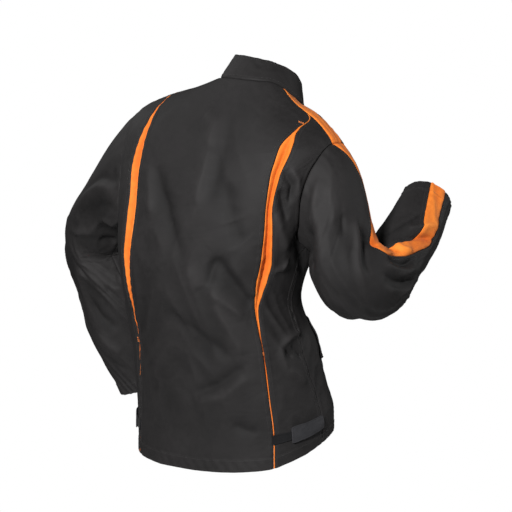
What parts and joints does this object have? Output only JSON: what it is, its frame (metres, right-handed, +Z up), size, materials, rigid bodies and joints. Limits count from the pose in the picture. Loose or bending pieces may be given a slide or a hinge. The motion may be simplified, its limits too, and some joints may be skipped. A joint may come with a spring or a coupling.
{
  "type": "welding jacket",
  "caption": "Long-sleeved work jacket of dark twill, held in its worn shape, with a stand collar, orange stretch inserts in the back and an orange stripe down each arm.",
  "frame": {"origin": "middle of the neck opening at the height of the collar seam, where the wearer's shoulders hold the jacket", "axes": "+Z up, -Y towards the front of the jacket, -X towards the wearer's right"},
  "size_m": [0.7976, 0.4618, 0.7474],
  "materials": {
    "twill": "black cotton twill, matt with a soft sheen",
    "orange": "bright orange twill, matt",
    "hook_and_loop": "black hook and loop tape"
  },
  "bodies": {
    "root": {"back_panel": "twill", "collar": "twill", "front_placket": "twill", "right_insert": "orange", "right_side_panel": "twill", "right_shoulder_stripe": "orange", "right_front": "twill", "right_sleeve_stripe": "orange", "right_sleeve_back": "twill", "right_sleeve_front": "twill", "right_loop_strip": "hook_and_loop", "right_hem_tab": "hook_and_loop", "right_pocket_flap": "twill", "left_insert": "orange", "left_side_panel": "twill", "left_shoulder_stripe": "orange", "left_front": "twill", "left_sleeve_stripe": "orange", "left_sleeve_back": "twill", "left_sleeve_front": "twill", "left_loop_strip": "hook_and_loop", "left_hem_tab": "hook_and_loop", "left_pocket_flap": "twill"}
  },
  "joints": []
}
